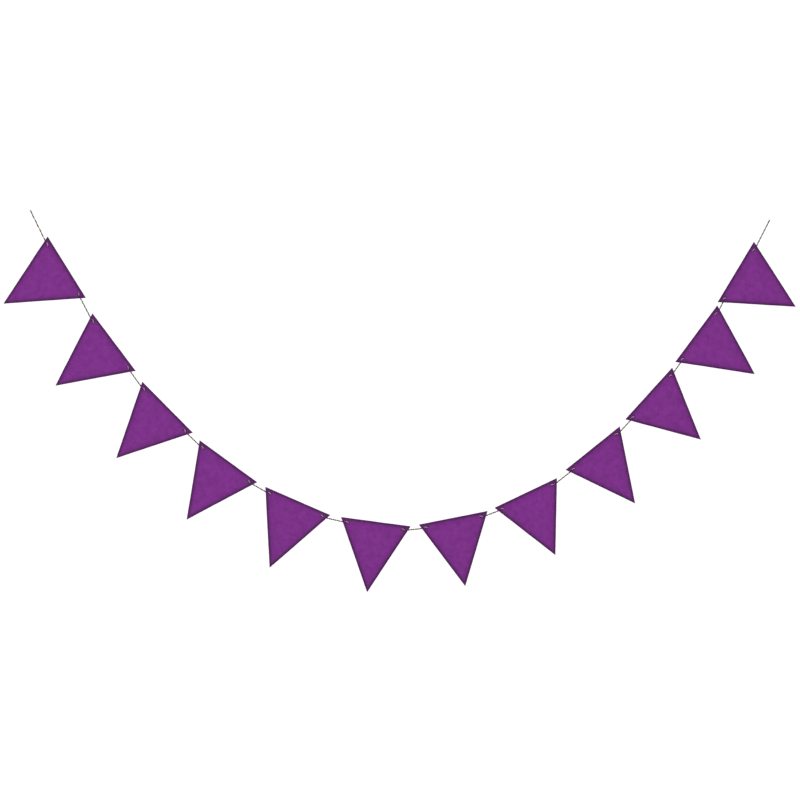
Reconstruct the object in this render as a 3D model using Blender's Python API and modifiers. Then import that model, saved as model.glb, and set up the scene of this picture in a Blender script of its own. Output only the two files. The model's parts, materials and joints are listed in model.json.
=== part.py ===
"""Felt bunting: a row of triangular felt flags caught on one twine that hangs between its two ends.

Metres, +Z up. The origin is the twine's left end. +X runs towards its right end, and the front
of the flags faces -Y. A flag's own frame has its origin at its upper left corner, +X along its
string edge and +Z square to that edge, away from its tip.
"""

import math
from collections import namedtuple

import bmesh
import bpy
from mathutils import Matrix, Vector

MM = 0.001

# Felt and twine.
FELT_THICKNESS = 1.5 * MM
TWINE_DIAMETER = 3.2 * MM
AIR_GAP = 0.3 * MM

# Where the twine meets a flag: it runs behind, and shows in front in one stitch by each corner.
STITCH_FROM_CORNER = 14.5 * MM
STITCH_BELOW_EDGE = 9.2 * MM
HOLE_FROM_STITCH_MIDDLE = 3.2 * MM
HOLE_DIAMETER = 4.7 * MM
STITCH_HALF_FRONT = 2.0 * MM
STITCH_HALF_BACK = 4.4 * MM

# The twine's free tails: from its left end to the first flag's corner, and from the last
# flag's corner to its right end.
LEFT_TAIL = Vector((37.9 * MM, 0.0, -56.9 * MM))
RIGHT_TAIL = Vector((33.9 * MM, 0.0, 46.4 * MM))

# Mesh fineness.
FLAG_CUTS = 7
HOLE_SIDES = 12
TWINE_BEVEL_RESOLUTION = 2

# Distance from the middle of the felt to the middle of the twine that runs behind it.
BEHIND = FELT_THICKNESS / 2 + AIR_GAP + TWINE_DIAMETER / 2

# One row a flag, from left to right.
#   tilt      degrees that the string edge rises to the right
#   width     mm along the string edge
#   height    mm from the string edge to the tip
#   tip       place of the tip along the string edge, from 0 at the left corner to 1
#   curl      mm that the tip stands in front of the string edge, or behind it if negative
#   twist     mm that the tip end's right side would stand in front of its left side
#   gap       mm from this flag's right corner to the next flag's left corner
#   gap_tilt  degrees that the gap rises to the right
Flag = namedtuple("Flag", "tilt width height tip curl twist gap gap_tilt")
FLAGS = (
    Flag(-58.1, 154.0, 156.5, 0.46, -5.0, 8.0, 35.8, -66.9),
    Flag(-53.1, 153.0, 156.5, 0.49, -7.0, -6.0, 27.3, -58.2),
    Flag(-45.3, 152.5, 154.5, 0.50, -4.0, 6.0, 21.9, -47.8),
    Flag(-36.1, 151.5, 152.5, 0.51, 3.0, 10.0, 20.2, -29.6),
    Flag(-23.5, 150.5, 155.0, 0.51, -6.0, -8.0, 23.4, -10.5),
    Flag(-7.6, 149.5, 151.5, 0.51, -4.0, 6.0, 17.9, 11.9),
    Flag(11.2, 149.0, 148.5, 0.48, -8.0, -6.0, 16.6, 24.6),
    Flag(25.5, 147.0, 147.0, 0.50, -3.0, 8.0, 25.6, 43.2),
    Flag(38.8, 147.5, 149.0, 0.48, -6.0, -10.0, 19.4, 51.3),
    Flag(47.8, 148.5, 147.5, 0.51, 4.0, -6.0, 13.8, 61.7),
    Flag(53.4, 150.0, 152.5, 0.54, -7.0, 8.0, 7.0, 83.0),
    Flag(59.0, 150.0, 148.5, 0.52, -5.0, -8.0, 0.0, 0.0),
)


def clear_scene():
    for obj in list(bpy.data.objects):
        bpy.data.objects.remove(obj, do_unlink=True)


def new_collection(name):
    collection = bpy.data.collections.new(name)
    bpy.context.scene.collection.children.link(collection)
    return collection


def material(name, colour, roughness):
    made = bpy.data.materials.new(name)
    made.use_nodes = True
    shader = made.node_tree.nodes["Principled BSDF"]
    shader.inputs["Base Color"].default_value = (*colour, 1.0)
    shader.inputs["Roughness"].default_value = roughness
    shader.inputs["Metallic"].default_value = 0.0
    return made


def up_the_slope(degrees):
    """Unit vector in the XZ plane that rises to the right by this angle."""
    return Vector((math.cos(math.radians(degrees)), 0.0, math.sin(math.radians(degrees))))


def flag_corners():
    """The upper left corner of each flag, and the upper right corner of the last."""
    corner = LEFT_TAIL.copy()
    corners = []
    for flag in FLAGS:
        corners.append(corner)
        right_corner = corner + up_the_slope(flag.tilt) * flag.width * MM
        corner = right_corner + up_the_slope(flag.gap_tilt) * flag.gap * MM
    return corners, right_corner


def flag_matrix(flag, corner):
    """The flag's own frame: the felt lies in front of the twine's plane, which is Y = 0."""
    place = Matrix.Translation(corner - Vector((0.0, BEHIND, 0.0)))
    return place @ Matrix.Rotation(math.radians(-flag.tilt), 4, "Y")


def hang(flag, along, down):
    """Depth of the felt in metres: flat along the twine, curling and twisting towards the tip."""
    drop = down / (flag.height * MM)
    side = along / (flag.width * MM) - flag.tip
    return -(flag.curl + flag.twist * side) * MM * drop**2


def stitch_middles(flag):
    """Places along the string edge of the flag's two stitches."""
    return STITCH_FROM_CORNER, flag.width * MM - STITCH_FROM_CORNER


def make_felt(name, flag):
    """The flag's sheet, with no thickness: a triangle cut into a lattice and bent."""
    form = bmesh.new()
    outline = (
        (0.0, 0.0, 0.0),
        (flag.width * flag.tip * MM, 0.0, -flag.height * MM),
        (flag.width * MM, 0.0, 0.0),
    )
    form.faces.new([form.verts.new(point) for point in outline])
    bmesh.ops.subdivide_edges(form, edges=form.edges[:], cuts=FLAG_CUTS, use_grid_fill=True)
    for vert in form.verts:
        vert.co.y = hang(flag, vert.co.x, -vert.co.z)
    mesh = bpy.data.meshes.new(name)
    form.to_mesh(mesh)
    form.free()
    return mesh


def make_hole_cutter(name, flag):
    """Four round pins, one for each hole, that run through the felt along Y."""
    form = bmesh.new()
    for middle in stitch_middles(flag):
        for side in (-1, 1):
            place = Vector((middle + side * HOLE_FROM_STITCH_MIDDLE, 0.0, -STITCH_BELOW_EDGE))
            bmesh.ops.create_cone(
                form,
                cap_ends=True,
                segments=HOLE_SIDES,
                radius1=HOLE_DIAMETER / 2,
                radius2=HOLE_DIAMETER / 2,
                depth=4 * FELT_THICKNESS,
                matrix=Matrix.Translation(place) @ Matrix.Rotation(math.radians(90), 4, "X"),
            )
    mesh = bpy.data.meshes.new(name)
    form.to_mesh(mesh)
    form.free()
    return mesh


def make_flag(number, flag, corner, parts, cutters, felt):
    name = f"flag_{number:02d}"
    body = bpy.data.objects.new(name, make_felt(name, flag))
    body.data.materials.append(felt)
    body.matrix_world = flag_matrix(flag, corner)
    parts.objects.link(body)

    cutter = bpy.data.objects.new(name + "_holes", make_hole_cutter(name + "_holes", flag))
    cutter.parent = body
    cutter.hide_render = True
    cutter.display_type = "WIRE"
    cutters.objects.link(cutter)

    solidify = body.modifiers.new("felt thickness", "SOLIDIFY")
    solidify.thickness = FELT_THICKNESS
    solidify.offset = 0.0
    solidify.use_even_offset = True
    cut = body.modifiers.new("stitch holes", "BOOLEAN")
    cut.operation = "DIFFERENCE"
    cut.solver = "EXACT"
    cut.object = cutter
    return body


def stitch(middle):
    """The twine's way through one stitch, in the flag's frame: from behind, over the front, behind."""
    steps = (
        (-STITCH_HALF_BACK, BEHIND),
        (-STITCH_HALF_FRONT, -BEHIND),
        (STITCH_HALF_FRONT, -BEHIND),
        (STITCH_HALF_BACK, BEHIND),
    )
    return [Vector((middle + along, depth, -STITCH_BELOW_EDGE)) for along, depth in steps]


def twine_route(corners, last_corner):
    """The twine's middle line: straight between stitches, with a free tail at each end."""
    route = [Vector((0.0, 0.0, 0.0))]
    for flag, corner in zip(FLAGS, corners):
        to_world = flag_matrix(flag, corner)
        for middle in stitch_middles(flag):
            route += [to_world @ point for point in stitch(middle)]
    route.append(last_corner + RIGHT_TAIL)
    return route


def make_twine(route, parts, finish):
    curve = bpy.data.curves.new("twine", "CURVE")
    curve.dimensions = "3D"
    curve.bevel_depth = TWINE_DIAMETER / 2
    curve.bevel_resolution = TWINE_BEVEL_RESOLUTION
    curve.use_fill_caps = True
    spline = curve.splines.new("POLY")
    spline.points.add(len(route) - 1)
    for point, place in zip(spline.points, route):
        point.co = (*place, 1.0)
    spline.use_smooth = True
    curve.materials.append(finish)
    parts.objects.link(bpy.data.objects.new("twine", curve))


def main():
    clear_scene()
    parts = new_collection("felt bunting")
    cutters = new_collection("cutters")
    felt = material("purple felt", (0.202, 0.034, 0.250), 0.95)
    twine = material("two ply twine", (0.30, 0.27, 0.24), 0.85)
    corners, last_corner = flag_corners()
    for number, (flag, corner) in enumerate(zip(FLAGS, corners), start=1):
        make_flag(number, flag, corner, parts, cutters, felt)
    make_twine(twine_route(corners, last_corner), parts, twine)


main()
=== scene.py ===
import json
import math
from collections import namedtuple

import bpy
import numpy as np
from mathutils import Matrix, Vector, noise
from mathutils.geometry import delaunay_2d_cdt


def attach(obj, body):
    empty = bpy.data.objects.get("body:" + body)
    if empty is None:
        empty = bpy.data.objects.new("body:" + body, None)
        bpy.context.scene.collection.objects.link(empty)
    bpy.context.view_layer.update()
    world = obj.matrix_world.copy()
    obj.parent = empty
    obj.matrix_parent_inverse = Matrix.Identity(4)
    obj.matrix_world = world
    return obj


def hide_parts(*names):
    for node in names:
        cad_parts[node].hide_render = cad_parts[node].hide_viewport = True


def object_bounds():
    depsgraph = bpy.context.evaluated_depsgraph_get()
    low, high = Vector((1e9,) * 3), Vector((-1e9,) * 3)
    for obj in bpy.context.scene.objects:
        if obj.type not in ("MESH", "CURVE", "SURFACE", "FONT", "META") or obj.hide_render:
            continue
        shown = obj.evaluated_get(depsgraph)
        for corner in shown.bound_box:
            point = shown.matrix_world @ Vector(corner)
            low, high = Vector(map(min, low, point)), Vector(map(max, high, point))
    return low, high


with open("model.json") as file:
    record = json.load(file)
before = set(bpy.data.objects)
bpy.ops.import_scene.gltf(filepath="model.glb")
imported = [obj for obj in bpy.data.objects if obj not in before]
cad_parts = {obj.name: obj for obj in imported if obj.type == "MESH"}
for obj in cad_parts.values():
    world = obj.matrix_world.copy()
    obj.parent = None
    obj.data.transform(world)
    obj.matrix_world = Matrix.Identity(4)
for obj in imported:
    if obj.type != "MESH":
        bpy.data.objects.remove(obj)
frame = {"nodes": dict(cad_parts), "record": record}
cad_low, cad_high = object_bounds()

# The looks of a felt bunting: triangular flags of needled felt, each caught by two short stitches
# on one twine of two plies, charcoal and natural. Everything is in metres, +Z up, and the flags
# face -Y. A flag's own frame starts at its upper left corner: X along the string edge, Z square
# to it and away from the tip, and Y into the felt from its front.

MM = 0.001

# Felt.
FELT_THICKNESS = 1.5 * MM
PRESSED_SHARE = 0.62           # thickness left at a cut edge, where the knife pressed the felt
PRESSED_WIDTH = 2.6 * MM
EDGE_SHADE_WIDTH = 24.0 * MM          # how far the painted shade along the cut edges fades into the flag
EDGE_STEP = 1.6 * MM           # between points along a cut edge
FIELD_STEP = 2.3 * MM          # between points in the middle of a flag
FIELD_ROWS = 0.866             # between rows of those points, as a share of the step
FIELD_JITTER = 0.22            # how far those points stray, as a share of the step
FIELD_CLEARANCE = 0.45         # how far they keep from the rows below, as a share of the step
INSET_ROWS = (0.35 * MM, 1.0 * MM, 1.9 * MM, 3.1 * MM)
CORNER_ROUND = 0.8 * MM
KNIFE_WANDER = 0.2 * MM        # how far a cut edge strays from straight
CUT_SIDE_BULGE = 0.15 * MM
KNIFE_WAVE_LENGTHS = (25.0 * MM, 4.0 * MM)    # of the cut's slow and quick straying
KNIFE_QUICK_SHARE = 0.4        # the quick straying, against 1 for the slow
STEADY_LENGTH = 10.0 * MM      # the knife starts and ends straight, over this much of a side
WAVE_HEIGHT = 0.5 * MM         # the felt's slow unevenness, away from the string edge
WAVE_LENGTH = 45.0 * MM
WAVE_STARTS = 12.0 * MM        # below the string edge, which the twine keeps straight
WAVE_GROWS = 40.0 * MM
DIMPLE_DEPTH = 0.25 * MM       # how far a stitch presses the felt back
DIMPLE_RADIUS = 3.0 * MM

# Twine and stitches.
TWINE_DIAMETER = 3.2 * MM
AIR_GAP = 0.3 * MM
BEHIND = FELT_THICKNESS / 2 + AIR_GAP + TWINE_DIAMETER / 2
STITCH_FROM_CORNER = 14.5 * MM
HOLES_BELOW_EDGE = 9.2 * MM
BEHIND_BELOW_EDGE = 10.1 * MM  # the twine behind the felt, and between the flags
FRONT_BELOW_EDGE = 8.3 * MM    # the stitch in front, which the flag's weight hangs on
STITCH_HALF_FRONT = 2.0 * MM
STITCH_HALF_BACK = 4.4 * MM
STITCH_IN_FRONT = 2.2 * MM     # from the middle of the felt to the middle of a stitch
HOLE_FROM_STITCH_MIDDLE = 3.2 * MM
HOLE_HALF_SIZES = np.array((2.2 * MM, 1.45 * MM))    # along the string edge, and square to it
HOLE_POINTS = 22
HOLE_ROWS = (0.35 * MM, 0.9 * MM)
HOLE_TOLERANCE = 0.02 * MM     # a triangle whose centre is deeper than this in a hole is cut away
STRAIGHT_LEAD = 5.0 * MM       # the twine is straight again this far from a stitch
TWIST_PITCH = 9.5 * MM         # one full turn of the two plies
LEFT_TAIL_PITCH = 21.5 * MM    # the free left tail has untwisted by half
PLY_RADIUS = 0.84 * MM
PLY_OFFSET = 0.78 * MM         # from the twine's middle to a ply's middle
PLY_SIDES = 9
TWINE_STEP = 0.55 * MM
FRAYED_LENGTH = 6.0 * MM       # at each cut end, where the plies spread
FRAYED_SPREAD = 0.5            # how much further apart they end, as a share of their offset

# Patterns of the felt. Clouds are where the carded web was thicker. Tangles are drawn coarser
# than felt's real clumps of about 0.5 mm, which are too fine to show. Needle marks and matted
# fibres show only from close by.
CLOUD_SIZE = 12.0 * MM
TANGLE_SIZE = 2.5 * MM
NEEDLE_MARK_SIZE = 1.1 * MM
NAP_DEPTH = 0.3 * MM
EDGE_SHADE_STRAY = 0.05               # share of the painted edge shade's width that the fibres stray it by

# Streaks of a ply: bundles of fibres, because one cotton fibre, 0.015 mm wide, is too fine to show.
STREAK_WIDTH = 0.26 * MM
STREAK_LENGTH = 3.0 * MM
STREAK_DEPTH = 0.12 * MM
FIBRE_PITCH = 5.0 * MM         # the fibres wind once round their ply in this length

# Loose fibres.
FIBRE_RADIUS = 0.035 * MM      # real fibres are nearer 0.015 mm, too thin to show even close by
FIBRE_RINGS = ((0.0, 1.0), (0.55, 0.8))       # share of a fibre's length, and thickness there
FELT_FIBRE_LENGTHS = (0.3 * MM, 1.1 * MM)
COTTON_FIBRE_LENGTHS = (0.4 * MM, 1.4 * MM)
FRAYED_FIBRE_LENGTHS = (0.5 * MM, 1.7 * MM)
EDGE_FIBRES = 1500             # on a flag
FACE_FIBRES = 1300             # on a flag, both faces together
TWINE_FIBRES = 1700
FRAYED_FIBRES = 40             # at each end of each ply
COTTON_LEAN = 1.6              # the most that a fibre leans along the twine, against 1 outwards
COTTON_BEND = 0.5              # how far its end bends, as a share of its length
FRAYED_STRAY = 0.28
FRAYED_BEND = 0.3
FELT_STRAY = 0.45
FELT_BEND = 0.45
CUT_FIBRE_SPAN = 0.8           # share of the cut side's thickness that fibres stand on
CUT_FIBRE_TILT = 0.5           # how far those nearer a face lean towards it
LYING_FIBRE_RISE = 0.35        # how far a fibre on a face rises from it
LYING_FIBRE_FALL = 0.2         # how far it bends back
LYING_FIBRE_SUNK = 0.03 * MM
FIBRE_SHADE = 0.25             # loose fibres get no more painted edge shade than the felt at this share of its width
TWINE_SEED = 97
FELT_SEED = 500                # plus the flag's number

# Camera.
LENS = 80.0
SENSOR = 36.0
VIEW_MARGIN = 1.0087           # the view is this many times as wide as the bunting
AIM_RIGHT = 0.9 * MM
AIM_UP = 1.9 * MM

# Light and floor.
WORLD_STRENGTH = 1.1
LAMP_SIZE = 3.0
LAMP_WATTS = 35.0
LAMP_FROM_MIDDLE = Vector((-1.2, -3.4, 2.0))
FLOOR_SIZE = 12.0
FLOOR_BELOW_TIPS = 0.6

NEAR_CORNER = 0.1 * MM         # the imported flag's points this close to a corner belong to it

Flag = namedtuple("Flag", "name place width height tip curl twist")


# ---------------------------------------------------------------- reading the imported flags

def read_flag(name):
    """A flag's own frame, cut size and hang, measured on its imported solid."""
    mesh = frame["nodes"][name].data
    points = np.array([vertex.co for vertex in mesh.vertices])
    flat = points[:, [0, 2]]
    tip = flat[flat[:, 1].argmin()]
    first = flat[np.linalg.norm(flat - tip, axis=1).argmax()]
    side, reach = first - tip, flat - tip
    second = flat[np.abs(side[0] * reach[:, 1] - side[1] * reach[:, 0]).argmax()]
    left, right = sorted((first, second), key=lambda corner: corner[0])

    width = float(np.linalg.norm(right - left))
    along = (right - left) / width
    up = np.array((-along[1], along[0]))
    height = float(-(tip - left) @ up)
    tip_share = float((tip - left) @ along) / width

    at_corner = points[np.linalg.norm(flat - left, axis=1) < NEAR_CORNER]
    depth = (at_corner[:, 1].min() + at_corner[:, 1].max()) / 2
    place = Matrix((
        (along[0], 0.0, up[0], left[0]),
        (0.0, 1.0, 0.0, depth),
        (along[1], 0.0, up[1], left[1]),
        (0.0, 0.0, 0.0, 1.0),
    ))

    front = np.array([face.center for face in mesh.polygons if face.normal.y < -0.5])
    from_left = front[:, [0, 2]] - left
    drop = -(from_left @ up) / height
    across = from_left @ along / width - tip_share
    behind = front[:, 1] + FELT_THICKNESS / 2 - depth
    shape = np.stack((drop**2, across * drop**2), axis=1)
    curl, twist = np.linalg.lstsq(shape, behind, rcond=None)[0]
    return Flag(name, place, width, height, tip_share, float(curl), float(twist))


def stitch_middles(flag):
    return STITCH_FROM_CORNER, flag.width - STITCH_FROM_CORNER


def smooth(share):
    """An even start and end between 0 and 1."""
    held = np.clip(share, 0.0, 1.0)
    return held * held * (3.0 - 2.0 * held)


# ---------------------------------------------------------------- materials

def linear(hex_colour):
    """The linear RGBA of an sRGB hex colour."""
    parts = [int(hex_colour[i:i + 2], 16) / 255 for i in (1, 3, 5)]
    return (*(c / 12.92 if c <= 0.04045 else ((c + 0.055) / 1.055) ** 2.4 for c in parts), 1.0)


def add(tree, kind, inputs=None, stops=(), **settings):
    """Adds a node. inputs gives each socket a value, or another node's output to link from, and
    stops gives each colour of a ramp its place and its hex value."""
    made = tree.nodes.new(kind)
    for name, value in settings.items():
        setattr(made, name, value)
    for socket, value in (inputs or {}).items():
        if isinstance(value, bpy.types.NodeSocket):
            tree.links.new(value, made.inputs[socket])
        else:
            made.inputs[socket].default_value = value
    for number, (place, hex_colour) in enumerate(stops):
        elements = made.color_ramp.elements
        stop = elements[number] if number < len(elements) else elements.new(place)
        stop.position, stop.color = place, linear(hex_colour)
    return made


def new_material(name):
    made = bpy.data.materials.new(name)
    made.use_nodes = True
    return made, made.node_tree, made.node_tree.nodes["Principled BSDF"]


def felt_material():
    """Needle-punched polyester felt, dyed purple and knife-cut. The eye gets a soft matt face with
    a faint cloudiness, tangled fibres and a darker rim along every cut, which is painted shade."""
    made, tree, shader = new_material("needled_felt_purple")
    here = add(tree, "ShaderNodeTexCoord").outputs["Object"]
    clouds = add(tree, "ShaderNodeTexNoise", {
        "Vector": here, "Scale": 1 / CLOUD_SIZE, "Detail": 3.0,
    })
    tangles = add(tree, "ShaderNodeTexNoise", {
        "Vector": here, "Scale": 1 / TANGLE_SIZE, "Detail": 4.0,
    })
    needling = add(tree, "ShaderNodeTexNoise", {
        "Vector": here, "Scale": 1 / NEEDLE_MARK_SIZE, "Detail": 3.0, "Distortion": 2.5,
    })
    uneven = add(tree, "ShaderNodeMath", {
        0: tangles.outputs["Fac"], 1: needling.outputs["Fac"],
    }, operation="ADD")
    half_uneven = add(tree, "ShaderNodeMath", {0: uneven.outputs[0], 1: 0.5}, operation="MULTIPLY")

    # The painted edge shade follows the distance from the cut, strayed a little by the fibres.
    from_edge = add(tree, "ShaderNodeAttribute", attribute_name="from_edge")
    strayed = add(tree, "ShaderNodeMath", {
        0: uneven.outputs[0], 1: EDGE_SHADE_STRAY, 2: from_edge.outputs["Fac"],
    }, operation="MULTIPLY_ADD")

    dye = add(tree, "ShaderNodeValToRGB", {"Fac": clouds.outputs["Fac"]}, stops=(
        (0.30, "#71267C"), (0.50, "#772A83"), (0.72, "#7D2E89"),
    ))
    # The tangled fibres' random tone, and painted shade in the nap's hollows: the same noise that
    # lowers the bump darkens the felt there.
    specks_and_nap_shade = add(tree, "ShaderNodeValToRGB", {"Fac": half_uneven.outputs[0]}, stops=(
        (0.35, "#DBDBDB"), (0.65, "#FFFFFF"),
    ))
    # Painted shade: the felt darkens towards every cut edge, and faintly over the narrow tip, for
    # edges that curve away from the light.
    rim = add(tree, "ShaderNodeValToRGB", {"Fac": strayed.outputs[0]}, stops=(
        (0.05, "#A6A6A6"), (0.17, "#AFAFAF"), (0.24, "#D1D1D1"), (0.32, "#EBEBEB"),
        (0.43, "#F5F5F5"), (0.60, "#FAFAFA"), (1.00, "#FFFFFF"),
    ))
    speckled_and_nap_shaded = add(tree, "ShaderNodeMixRGB", {
        "Fac": 1.0, "Color1": dye.outputs["Color"], "Color2": specks_and_nap_shade.outputs["Color"],
    }, blend_type="MULTIPLY")
    shaded = add(tree, "ShaderNodeMixRGB", {
        "Fac": 1.0, "Color1": speckled_and_nap_shaded.outputs["Color"], "Color2": rim.outputs["Color"],
    }, blend_type="MULTIPLY")
    nap = add(tree, "ShaderNodeBump", {
        "Height": uneven.outputs[0], "Strength": 0.8, "Distance": NAP_DEPTH,
    })
    tree.links.new(shaded.outputs["Color"], shader.inputs["Base Color"])
    tree.links.new(nap.outputs["Normal"], shader.inputs["Normal"])
    shader.inputs["Roughness"].default_value = 0.95
    shader.inputs["IOR"].default_value = 1.57
    shader.inputs["Specular IOR Level"].default_value = 0.12
    shader.inputs["Sheen Weight"].default_value = 0.05
    shader.inputs["Sheen Roughness"].default_value = 0.6
    return made


def ply_material(name, hollow_shade_colour, crown_colour):
    """Spun cotton yarn: short fibres twisted together, matt, streaked along the fibres' twist."""
    made, tree, shader = new_material(name)
    streak_place = add(tree, "ShaderNodeAttribute", attribute_name="streak_place")
    streaks = add(tree, "ShaderNodeTexNoise", {
        "Vector": streak_place.outputs["Vector"], "Scale": 1.0, "Detail": 3.0,
    })
    # Painted shade: the streaks' random tone is darkest in their hollows, where the bump is low.
    tone = add(tree, "ShaderNodeValToRGB", {"Fac": streaks.outputs["Fac"]}, stops=(
        (0.35, hollow_shade_colour), (0.65, crown_colour),
    ))
    relief = add(tree, "ShaderNodeBump", {
        "Height": streaks.outputs["Fac"], "Strength": 0.6, "Distance": STREAK_DEPTH,
    })
    tree.links.new(tone.outputs["Color"], shader.inputs["Base Color"])
    tree.links.new(relief.outputs["Normal"], shader.inputs["Normal"])
    shader.inputs["Roughness"].default_value = 0.9
    shader.inputs["IOR"].default_value = 1.53
    shader.inputs["Specular IOR Level"].default_value = 0.2
    return made


def floor_material():
    """Rolled studio paper, white and matt, with no gloss of its own."""
    made, _, shader = new_material("rolled_paper_white")
    shader.inputs["Base Color"].default_value = linear("#F9F9F9")
    shader.inputs["Roughness"].default_value = 0.9
    shader.inputs["Specular IOR Level"].default_value = 0.0
    return made


# ---------------------------------------------------------------- making pieces

def new_piece(name, points, faces, materials):
    mesh = bpy.data.meshes.new(name)
    mesh.from_pydata([tuple(point) for point in points], [], [tuple(face) for face in faces])
    mesh.shade_smooth()
    for finish in materials:
        mesh.materials.append(finish)
    piece = bpy.data.objects.new(name, mesh)
    bpy.context.scene.collection.objects.link(piece)
    return piece


def mark(piece, name, kind, values):
    """Gives every vertex of the piece a named value, or a named vector."""
    layer = piece.data.attributes.new(name, kind, "POINT")
    field = "vector" if kind == "FLOAT_VECTOR" else "value"
    layer.data.foreach_set(field, np.asarray(values, dtype=np.float32).ravel())


def unit(vectors):
    return vectors / np.linalg.norm(vectors, axis=1)[:, None]


def loose_fibres(bases, ways, bends, lengths):
    """Thin closed fibres that taper to a point, each leaving its base one way and bending."""
    beside = unit(np.cross(ways, bends))
    above = np.cross(beside, ways)
    points, faces = [], []
    for base, way, bend, length, a, b in zip(bases, ways, bends, lengths, beside, above):
        start = len(points)
        for share, thickness in FIBRE_RINGS:
            centre = base + (way + bend * share) * share * length
            for corner in range(3):
                angle = corner * 2 * math.pi / 3
                spoke = a * math.cos(angle) + b * math.sin(angle)
                points.append(centre + spoke * FIBRE_RADIUS * thickness)
        points.append(base + (way + bend) * length)
        for i, j in ((0, 1), (1, 2), (2, 0)):
            faces.append((start + i, start + j, start + 3 + j, start + 3 + i))
            faces.append((start + 3 + i, start + 3 + j, start + 6))
        faces.append((start + 2, start + 1, start))
    return np.array(points), faces


# ---------------------------------------------------------------- camera and light

def make_camera():
    data = bpy.data.cameras.new("camera")
    data.lens = LENS
    data.sensor_width = SENSOR
    camera = bpy.data.objects.new("camera", data)
    bpy.context.scene.collection.objects.link(camera)
    middle = (cad_low + cad_high) / 2
    away = (cad_high.x - cad_low.x) * VIEW_MARGIN * LENS / SENSOR
    camera.location = (middle.x + AIM_RIGHT, middle.y - away, middle.z + AIM_UP)
    camera.rotation_euler = (math.radians(90), 0.0, 0.0)
    bpy.context.scene.camera = camera


def make_light():
    """A white studio that lights evenly, and one large soft light from the upper left."""
    world = bpy.data.worlds.new("white studio")
    world.use_nodes = True
    world.node_tree.nodes["Background"].inputs["Color"].default_value = linear("#FFFFFF")
    world.node_tree.nodes["Background"].inputs["Strength"].default_value = WORLD_STRENGTH
    bpy.context.scene.world = world

    lamp = bpy.data.lights.new("soft key", "AREA")
    lamp.shape = "DISK"
    lamp.size = LAMP_SIZE
    lamp.energy = LAMP_WATTS
    light = bpy.data.objects.new("soft key", lamp)
    bpy.context.scene.collection.objects.link(light)
    middle = (cad_low + cad_high) / 2
    light.location = middle + LAMP_FROM_MIDDLE
    light.rotation_euler = (middle - light.location).to_track_quat("-Z", "Y").to_euler()


def make_floor():
    """A wide pale floor well below the tips."""
    middle = (cad_low + cad_high) / 2
    level = cad_low.z - FLOOR_BELOW_TIPS
    corners = [
        (middle.x + x * FLOOR_SIZE / 2, middle.y + y * FLOOR_SIZE / 2, level)
        for x, y in ((-1, -1), (1, -1), (1, 1), (-1, 1))
    ]
    return new_piece("floor", corners, [(0, 1, 2, 3)], [floor_material()])


# ---------------------------------------------------------------- twine

def twine_stops(flags, ends):
    """Where the twine's middle passes: its ends, and behind, through and over each stitch."""
    stops = [ends[0]]
    for flag in flags:
        for middle in stitch_middles(flag):
            for along, depth, down in (
                (-STITCH_HALF_BACK, BEHIND, BEHIND_BELOW_EDGE),
                (-STITCH_HALF_FRONT, -STITCH_IN_FRONT, FRONT_BELOW_EDGE),
                (STITCH_HALF_FRONT, -STITCH_IN_FRONT, FRONT_BELOW_EDGE),
                (STITCH_HALF_BACK, BEHIND, BEHIND_BELOW_EDGE),
            ):
                stops.append(flag.place @ Vector((middle + along, depth, -down)))
    return [*stops, ends[1]]


def with_leads(stops):
    """Adds a stop near each end of every long run, so that the smoothed twine stays straight."""
    led = [stops[0]]
    for start, end in zip(stops, stops[1:]):
        run = end - start
        if run.length > 4 * STRAIGHT_LEAD:
            lead = run.normalized() * STRAIGHT_LEAD
            led += [start + lead, end - lead]
        led.append(end)
    return np.array(led)


def smooth_line(stops, step):
    """A centripetal Catmull-Rom line through the stops, with a point about every step."""
    legs = np.diff(stops, axis=0)
    lengths = np.linalg.norm(legs, axis=1)
    spans = np.sqrt(lengths)[:, None]
    slopes = legs / spans
    leaving = np.empty_like(stops)
    leaving[0], leaving[-1] = slopes[0], slopes[-1]
    leaving[1:-1] = slopes[:-1] + slopes[1:] - (legs[:-1] + legs[1:]) / (spans[:-1] + spans[1:])

    line = []
    for i, length in enumerate(lengths):
        t = np.linspace(0, 1, max(2, math.ceil(length / step)), endpoint=False)[:, None]
        line.append(
            stops[i] * (2 * t**3 - 3 * t**2 + 1)
            + leaving[i] * spans[i] * (t**3 - 2 * t**2 + t)
            + stops[i + 1] * (3 * t**2 - 2 * t**3)
            + leaving[i + 1] * spans[i] * (t**3 - t**2)
        )
    return np.concatenate([*line, stops[-1:]])


def travelled(line):
    """Distance along the line to each of its points."""
    return np.concatenate([[0.0], np.cumsum(np.linalg.norm(np.diff(line, axis=0), axis=1))])


def twist_angles(line, flags):
    """How far the plies have turned. The natural ply faces forward in every stitch."""
    distance = travelled(line)
    at = []
    for flag in flags:
        for middle in stitch_middles(flag):
            place = flag.place @ Vector((middle, -STITCH_IN_FRONT, -FRONT_BELOW_EDGE))
            at.append(distance[np.linalg.norm(line - np.array(place), axis=1).argmin()])
    turns = np.concatenate([[0.0], np.cumsum(np.round(np.diff(at) / TWIST_PITCH))])
    known = [0.0, *at, distance[-1]]
    known_turns = [
        -at[0] / LEFT_TAIL_PITCH, *turns, turns[-1] + (distance[-1] - at[-1]) / TWIST_PITCH,
    ]
    return np.interp(distance, known, known_turns) * 2 * math.pi


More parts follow.
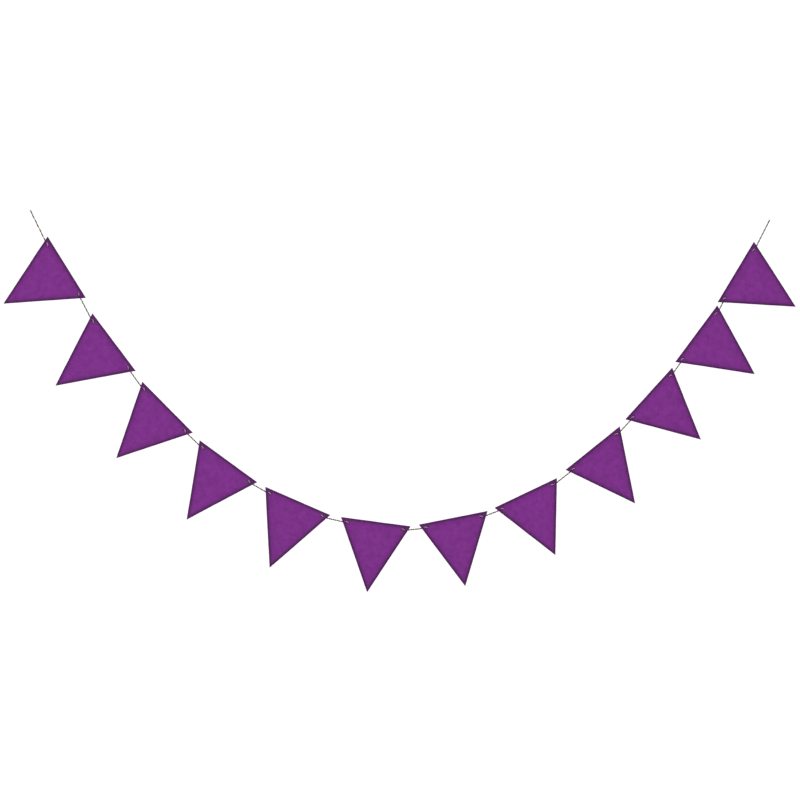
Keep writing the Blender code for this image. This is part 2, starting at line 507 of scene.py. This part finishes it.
def tube(centres, outward, radius, sides):
    """Rings round the centres, and the faces that join and close them."""
    tangents = unit(np.gradient(centres, axis=0))
    across = unit(outward - tangents * np.sum(outward * tangents, axis=1)[:, None])
    beside = np.cross(tangents, across)
    angles = np.arange(sides) * 2 * math.pi / sides
    rings = (
        centres[:, None, :]
        + radius * np.cos(angles)[None, :, None] * across[:, None, :]
        + radius * np.sin(angles)[None, :, None] * beside[:, None, :]
    )
    caps = np.stack((
        centres[0] - tangents[0] * radius / 2,
        centres[-1] + tangents[-1] * radius / 2,
    ))
    points = np.concatenate((rings.reshape(-1, 3), caps))
    last = (len(centres) - 1) * sides
    faces = []
    for i in range(len(centres) - 1):
        for j in range(sides):
            k = (j + 1) % sides
            faces.append((i * sides + j, i * sides + k, (i + 1) * sides + k, (i + 1) * sides + j))
    for j in range(sides):
        k = (j + 1) % sides
        faces.append((len(points) - 2, k, j))
        faces.append((len(points) - 1, last + j, last + k))
    return points, faces


def twine_fuzz(ply_points, tangents, ring_count):
    """Short ends of cotton that stand out of the plies, and the brush of them at each cut end."""
    random = np.random.default_rng(TWINE_SEED)
    rings = random.integers(3, ring_count - 3, TWINE_FIBRES)
    sides = random.integers(0, PLY_SIDES, TWINE_FIBRES)
    ply_starts = random.integers(0, 2, TWINE_FIBRES) * (ring_count * PLY_SIDES + 2)
    first = ply_starts + rings * PLY_SIDES
    middles = np.mean([ply_points[first + side] for side in range(PLY_SIDES)], axis=0)
    bases = ply_points[first + sides]
    outward = unit(bases - middles)
    leans = random.uniform(-COTTON_LEAN, COTTON_LEAN, (TWINE_FIBRES, 1))
    ways = unit(outward + tangents[rings] * leans)
    bends = unit(random.normal(size=(TWINE_FIBRES, 3))) * COTTON_BEND
    lengths = random.uniform(*COTTON_FIBRE_LENGTHS, TWINE_FIBRES)
    bases = bases - outward * FIBRE_RADIUS

    for ply_start in (0, ring_count * PLY_SIDES + 2):
        for ring, way in ((0, -tangents[0]), (ring_count - 1, tangents[-1])):
            first = ply_start + ring * PLY_SIDES
            rim = ply_points[first:first + PLY_SIDES]
            inward = random.uniform(0.1, 1.0, (FRAYED_FIBRES, 1))
            chosen = rim[random.integers(0, PLY_SIDES, FRAYED_FIBRES)]
            bases = np.concatenate((bases, rim.mean(axis=0) * (1 - inward) + chosen * inward))
            spray = way + random.normal(0.0, FRAYED_STRAY, (FRAYED_FIBRES, 3))
            ways = np.concatenate((ways, unit(spray)))
            frayed_bends = unit(random.normal(size=(FRAYED_FIBRES, 3))) * FRAYED_BEND
            bends = np.concatenate((bends, frayed_bends))
            frayed_lengths = random.uniform(*FRAYED_FIBRE_LENGTHS, FRAYED_FIBRES)
            lengths = np.concatenate((lengths, frayed_lengths))
    return loose_fibres(bases, ways, bends, lengths)


def make_twine(flags):
    """Two plies twisted round one line that runs through every stitch."""
    ends = [Vector(mount["pos_m"]) for mount in frame["record"]["mounts"]]
    line = smooth_line(with_leads(twine_stops(flags, ends)), TWINE_STEP)
    distance = travelled(line)
    angles = twist_angles(line, flags)
    tangents = unit(np.gradient(line, axis=0))
    forward = unit(np.array((0.0, -1.0, 0.0)) - tangents * -tangents[:, 1:2])
    beside = np.cross(tangents, forward)
    to_end = np.minimum(distance, distance[-1] - distance)
    spread = PLY_OFFSET * (1 + FRAYED_SPREAD * smooth(1 - to_end / FRAYED_LENGTH))

    points, faces, finishes, places = [], [], [], []
    for ply in (0, 1):
        turn = angles + ply * math.pi
        outward = np.cos(turn)[:, None] * forward + np.sin(turn)[:, None] * beside
        centres = line + spread[:, None] * outward
        ply_points, ply_faces = tube(centres, outward, PLY_RADIUS, PLY_SIDES)
        start = sum(len(block) for block in points)
        points.append(ply_points)
        faces += [tuple(start + i for i in face) for face in ply_faces]
        finishes += [ply] * len(ply_faces)

        # The fibres wind round their ply, against the twist of the plies. The second ply's streaks
        # start 100 streaks further on, so that the two differ.
        ring = np.arange(PLY_SIDES) * 2 * math.pi / PLY_SIDES
        wind = ring[None, :] + (distance / FIBRE_PITCH * 2 * math.pi)[:, None]
        round_ply = PLY_RADIUS / STREAK_WIDTH
        along = np.broadcast_to((distance / STREAK_LENGTH)[:, None] + 100 * ply, wind.shape)
        place = np.stack((np.cos(wind) * round_ply, np.sin(wind) * round_ply, along), axis=-1)
        places.append(place.reshape(-1, 3))
        places.append(np.array((place[0, 0], place[-1, 0])))

    fuzz, fuzz_faces = twine_fuzz(np.concatenate(points), tangents, len(line))
    start = sum(len(block) for block in points)
    points.append(fuzz)
    faces += [tuple(start + i for i in face) for face in fuzz_faces]
    finishes += [0] * len(fuzz_faces)
    places.append(fuzz / STREAK_WIDTH)

    # Each ply's colour in the streaks' hollows, darkened as painted shade, and on their crowns.
    natural = ply_material("spun_cotton_natural", "#7D776A", "#A9A293")
    charcoal = ply_material("spun_cotton_charcoal", "#0E0E0D", "#232220")
    piece = new_piece("twine_twist", np.concatenate(points), faces, (natural, charcoal))
    piece.data.polygons.foreach_set("material_index", finishes)
    mark(piece, "streak_place", "FLOAT_VECTOR", np.concatenate(places))

    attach(piece, "root")
    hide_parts("twine")


# ---------------------------------------------------------------- felt

def flag_corners(flag):
    """The flat cut's corners, turning from the upper left to the tip to the upper right."""
    return np.array(((0.0, 0.0), (flag.width * flag.tip, -flag.height), (flag.width, 0.0)))


def flag_sides(flag):
    """Each cut side's start, direction, length and inward direction."""
    corners = flag_corners(flag)
    for start, end in zip(corners, np.roll(corners, -1, axis=0)):
        length = np.linalg.norm(end - start)
        along = (end - start) / length
        yield start, along, length, np.array((-along[1], along[0]))


def from_sides(flag, points):
    """Distance from each point to the nearest cut side."""
    return np.min([(points - start) @ inward for start, _, _, inward in flag_sides(flag)], axis=0)


def hole_middles(flag):
    return np.array([
        (middle + side * HOLE_FROM_STITCH_MIDDLE, -HOLES_BELOW_EDGE)
        for middle in stitch_middles(flag)
        for side in (-1, 1)
    ])


def from_holes(flag, points):
    """Distance from each point to the rim of the nearest oval hole, negative inside it."""
    offsets = (points[:, None, :] - hole_middles(flag)[None, :, :]) / HOLE_HALF_SIZES
    return (np.linalg.norm(offsets, axis=2).min(axis=1) - 1) * HOLE_HALF_SIZES.mean()


def cut_outline(flag, number):
    """Points round the knife-cut edge: almost straight sides, and slightly rounded corners. The
    numbers of the flag and the side only give each side a knife path of its own."""
    outline = []
    for side, (start, along, length, inward) in enumerate(flag_sides(flag)):
        count = round((length - 2 * CORNER_ROUND) / EDGE_STEP)
        for far in np.linspace(CORNER_ROUND, length - CORNER_ROUND, count):
            slow = noise.noise(Vector((far / KNIFE_WAVE_LENGTHS[0], number * 3.7, side * 5.1)))
            quick = noise.noise(Vector((far / KNIFE_WAVE_LENGTHS[1], number * 7.3, side * 9.7)))
            fade = smooth(min(far, length - far) / STEADY_LENGTH)
            stray = inward * KNIFE_WANDER * fade * (slow + KNIFE_QUICK_SHARE * quick)
            outline.append(start + along * far + stray)
        corner = start + along * length
        outline.append((corner + outline[-1]) / 2 + inward * CORNER_ROUND / 4)
    return np.array(outline)


def inset_rows(flag, outline):
    """The outline drawn in towards the middle by each of the rows' distances."""
    corners = flag_corners(flag)
    opposite = [np.linalg.norm(corners[i - 1] - corners[i - 2]) for i in range(3)]
    middle = (np.array(opposite)[:, None] * corners).sum(axis=0) / sum(opposite)
    inradius = flag.width * flag.height / sum(opposite)
    return [middle + (outline - middle) * (1 - row / inradius) for row in INSET_ROWS]


def field_points(flag, number):
    """Jittered points over the middle of the flag, clear of its edges and holes."""
    random = np.random.default_rng(number)
    across = np.arange(0.0, flag.width, FIELD_STEP)
    down = np.arange(0.0, flag.height, FIELD_STEP * FIELD_ROWS)
    grid = np.stack(np.meshgrid(across, -down), axis=-1)
    grid[1::2, :, 0] += FIELD_STEP / 2
    jitter = random.uniform(-FIELD_JITTER, FIELD_JITTER, (grid.size // 2, 2))
    points = grid.reshape(-1, 2) + jitter * FIELD_STEP
    clear = np.minimum(
        from_sides(flag, points) - INSET_ROWS[-1], from_holes(flag, points) - HOLE_ROWS[-1]
    )
    return points[clear > FIELD_STEP * FIELD_CLEARANCE]


def flat_cut(flag, number):
    """The flat flag as points and triangles, in its own X and Z."""
    outline = cut_outline(flag, number)
    loops = [outline, *inset_rows(flag, outline)]
    angles = np.arange(HOLE_POINTS) * 2 * math.pi / HOLE_POINTS
    ring = np.stack((np.cos(angles), np.sin(angles)), axis=-1)
    for middle in hole_middles(flag):
        loops += [middle + ring * (HOLE_HALF_SIZES + row) for row in (0.0, *HOLE_ROWS)]

    points = np.concatenate([*loops, field_points(flag, number)])
    edges, start = [], 0
    for loop in loops:
        size = len(loop)
        edges += [(start + i, start + (i + 1) % size) for i in range(size)]
        start += size
    # The triangulation works in millimetres, where its single precision is fine enough.
    made = delaunay_2d_cdt([Vector(point / MM) for point in points], edges, [], 1, 1e-5)
    points = np.array(made[0])[:, :2] * MM
    triangles = np.array(made[2])
    centres = points[triangles].mean(axis=1)
    return points, triangles[from_holes(flag, centres) > -HOLE_TOLERANCE]


def border_edges(triangles):
    """The edges that only one triangle has, each in the direction that triangle gives it."""
    edges = np.concatenate([triangles[:, [0, 1]], triangles[:, [1, 2]], triangles[:, [2, 0]]])
    present = {tuple(edge): None for edge in edges.tolist()}
    return [(a, b) for a, b in present if (b, a) not in present]


def felt_depth(flag, number, points):
    """How far behind its string edge each point of the felt hangs. The flag's number only gives
    it waves of its own."""
    down = -points[:, 1]
    drop = down / flag.height
    across = points[:, 0] / flag.width - flag.tip
    wave = np.array([
        noise.noise(Vector((x / WAVE_LENGTH, z / WAVE_LENGTH, number * 4.3))) for x, z in points
    ])
    depth = (flag.curl + flag.twist * across) * drop**2
    depth += WAVE_HEIGHT * wave * smooth((down - WAVE_STARTS) / WAVE_GROWS)
    for middle in stitch_middles(flag):
        reach = np.linalg.norm(points - (middle, -FRONT_BELOW_EDGE), axis=1)
        depth += DIMPLE_DEPTH * np.exp(-(reach / DIMPLE_RADIUS) ** 2)
    return depth


def felt_fuzz(number, points, depth, half, outward):
    """Fibres that stand out of the cut sides, and others that lie loose on both faces."""
    random = np.random.default_rng(FELT_SEED + number)
    cut = random.choice(np.array(list(outward)), EDGE_FIBRES)
    away = unit(np.array([outward[index] for index in cut]))
    level = random.uniform(-CUT_FIBRE_SPAN, CUT_FIBRE_SPAN, EDGE_FIBRES)
    cut_bases = np.stack((points[cut, 0], depth[cut] + half[cut] * level, points[cut, 1]), axis=1)
    cut_ways = np.stack((away[:, 0], level * CUT_FIBRE_TILT, away[:, 1]), axis=1)
    cut_ways = unit(cut_ways + random.normal(0.0, FELT_STRAY, (EDGE_FIBRES, 3)))

    lying = random.integers(0, len(points), FACE_FIBRES)
    face = random.choice((-1.0, 1.0), FACE_FIBRES)
    surface = depth[lying] + (half[lying] - LYING_FIBRE_SUNK) * face
    lying_bases = np.stack((points[lying, 0], surface, points[lying, 1]), axis=1)
    lying_ways = random.normal(size=(FACE_FIBRES, 3))
    lying_ways[:, 1] = face * LYING_FIBRE_RISE
    bends = unit(random.normal(size=(EDGE_FIBRES + FACE_FIBRES, 3))) * FELT_BEND
    bends[EDGE_FIBRES:, 1] = -face * LYING_FIBRE_FALL
    lengths = random.uniform(*FELT_FIBRE_LENGTHS, EDGE_FIBRES + FACE_FIBRES)
    return loose_fibres(
        np.concatenate((cut_bases, lying_bases)), np.concatenate((cut_ways, unit(lying_ways))),
        bends, lengths,
    )


def make_flag(flag, number, felt):
    points, triangles = flat_cut(flag, number)
    edge_distance = np.maximum(from_sides(flag, points), 0.0)
    cut_distance = np.maximum(np.minimum(edge_distance, from_holes(flag, points)), 0.0)
    share = PRESSED_SHARE + (1 - PRESSED_SHARE) * smooth(cut_distance / PRESSED_WIDTH)
    half = FELT_THICKNESS * share / 2
    depth = felt_depth(flag, number, points)

    count = len(points)
    front = np.stack((points[:, 0], depth - half, points[:, 1]), axis=1)
    back = np.stack((points[:, 0], depth + half, points[:, 1]), axis=1)
    faces = [tuple(face) for face in triangles] + [tuple(face[::-1] + count) for face in triangles]

    # The cut sides bulge a little in the middle of the felt's thickness.
    border = border_edges(triangles)
    outward = {}
    for a, b in border:
        turn = points[b] - points[a]
        turn = np.array((turn[1], -turn[0])) / np.linalg.norm(turn)
        for end in (a, b):
            outward[end] = outward.get(end, 0.0) + turn
    middles, middle_of = [], {}
    for index, turn in outward.items():
        middle_of[index] = 2 * count + len(middles)
        x, z = points[index] + turn / np.linalg.norm(turn) * CUT_SIDE_BULGE
        middles.append((x, depth[index], z))
    for a, b in border:
        faces.append((b, a, middle_of[a], middle_of[b]))
        faces.append((middle_of[b], middle_of[a], a + count, b + count))

    fuzz, fuzz_faces = felt_fuzz(number, points, depth, half, outward)
    start = 2 * count + len(middles)
    faces += [tuple(start + i for i in face) for face in fuzz_faces]

    own = np.concatenate([front, back, np.array(middles), fuzz])
    world = own @ np.array(flag.place.to_3x3()).T + np.array(flag.place.translation)
    piece = new_piece("felt_" + flag.name, world, faces, (felt,))
    # Distance from the cut, which sets the painted edge shade; loose fibres are kept as light as
    # the felt a little way in.
    shade = np.concatenate([
        edge_distance, edge_distance, edge_distance[list(outward)],
        np.maximum(from_sides(flag, fuzz[:, [0, 2]]), FIBRE_SHADE * EDGE_SHADE_WIDTH),
    ])
    mark(piece, "from_edge", "FLOAT", np.clip(shade / EDGE_SHADE_WIDTH, 0.0, 1.0))

    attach(piece, "root")
    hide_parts(flag.name)


# ---------------------------------------------------------------- the scene

bpy.context.scene.view_settings.view_transform = "Standard"
make_camera()
flags = [read_flag(name) for name in sorted(frame["nodes"]) if name.startswith("flag_")]
make_twine(flags)
felt = felt_material()
for number, flag in enumerate(flags, start=1):
    make_flag(flag, number, felt)
make_light()
make_floor()
